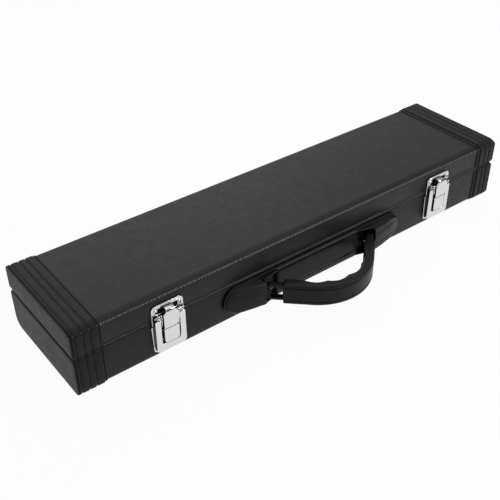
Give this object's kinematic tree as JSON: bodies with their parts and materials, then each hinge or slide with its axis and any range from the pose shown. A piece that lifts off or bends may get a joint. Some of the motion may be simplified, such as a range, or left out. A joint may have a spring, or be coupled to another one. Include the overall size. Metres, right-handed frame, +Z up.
{
  "type": "flute case",
  "caption": "Long flat hinged case with ribbed ends, draw latches, a bail handle and a padded insert for the joints of a flute.",
  "frame": {"origin": "bottom centre of the whole object's bounding box, on the plane the ribs stand on", "axes": "+X along the case's length, -Y towards the front with the latches and the handle, +Z up"},
  "size_m": [0.42, 0.145, 0.0555],
  "materials": {
    "leatherette": "fine grain, satin",
    "plush": "short pile",
    "chrome": "polished plating",
    "handle_plastic": "satin"
  },
  "bodies": {
    "base": {"base_shell": "leatherette", "base_ribs_left": "leatherette", "base_ribs_right": "leatherette", "base_valance": "plush", "base_lining": "plush", "strike_plate_left": "chrome", "strike_plate_right": "chrome", "strike_screw_1": "chrome", "strike_screw_2": "chrome", "strike_screw_3": "chrome", "strike_screw_4": "chrome", "lever_pin_left": "chrome", "lever_pin_right": "chrome", "handle_plate": "handle_plastic", "handle_screw_1": "chrome", "handle_screw_2": "chrome", "handle_pin_left": "chrome", "handle_pin_right": "chrome", "base_hinge_leaf_left": "chrome", "base_hinge_leaf_right": "chrome", "base_hinge_screw_1": "chrome", "base_hinge_screw_2": "chrome", "base_hinge_screw_3": "chrome", "base_hinge_screw_4": "chrome", "hinge_pin_left": "chrome", "hinge_pin_right": "chrome"},
    "lid": {"lid_shell": "leatherette", "lid_ribs_left": "leatherette", "lid_ribs_right": "leatherette", "lid_pad": "plush", "keeper_plate_left": "chrome", "keeper_plate_right": "chrome", "keeper_screw_1": "chrome", "keeper_screw_2": "chrome", "keeper_screw_3": "chrome", "keeper_screw_4": "chrome", "lid_hinge_leaf_left": "chrome", "lid_hinge_leaf_right": "chrome", "lid_hinge_screw_1": "chrome", "lid_hinge_screw_2": "chrome", "lid_hinge_screw_3": "chrome", "lid_hinge_screw_4": "chrome"},
    "handle": {"handle_core": "handle_plastic", "handle_grip": "handle_plastic"},
    "lever_left": {"latch_lever_left": "chrome", "tongue_pin_left": "chrome"},
    "lever_right": {"latch_lever_right": "chrome", "tongue_pin_right": "chrome"},
    "tongue_left": {"draw_tongue_left": "chrome"},
    "tongue_right": {"draw_tongue_right": "chrome"}
  },
  "joints": [
    {"name": "lid_hinge", "type": "hinge", "parent": "base", "child": "lid", "pos_m": [0, 0.0705, 0.034], "axis": [-1, 0, 0], "range_deg": [0, 105]},
    {"name": "handle_swing", "type": "hinge", "parent": "base", "child": "handle", "pos_m": [0, -0.0325, 0.0195], "axis": [1, 0, 0], "range_deg": [-42, 42]},
    {"name": "latch_left", "type": "hinge", "parent": "base", "child": "lever_left", "pos_m": [-0.1366, -0.0303, 0.0385], "axis": [-1, 0, 0], "range_deg": [0, 120]},
    {"name": "tongue_left", "type": "hinge", "parent": "lever_left", "child": "tongue_left", "pos_m": [-0.1366, -0.0302, 0.0264], "axis": [-1, 0, 0], "range_deg": [-120, 0]},
    {"name": "latch_right", "type": "hinge", "parent": "base", "child": "lever_right", "pos_m": [0.1366, -0.0303, 0.0385], "axis": [-1, 0, 0], "range_deg": [0, 120]},
    {"name": "tongue_right", "type": "hinge", "parent": "lever_right", "child": "tongue_right", "pos_m": [0.1366, -0.0302, 0.0264], "axis": [-1, 0, 0], "range_deg": [-120, 0]}
  ],
  "couplings": [
    {"joint": "tongue_left", "follows": "latch_left", "ratio": -1},
    {"joint": "tongue_right", "follows": "latch_right", "ratio": -1}
  ]
}
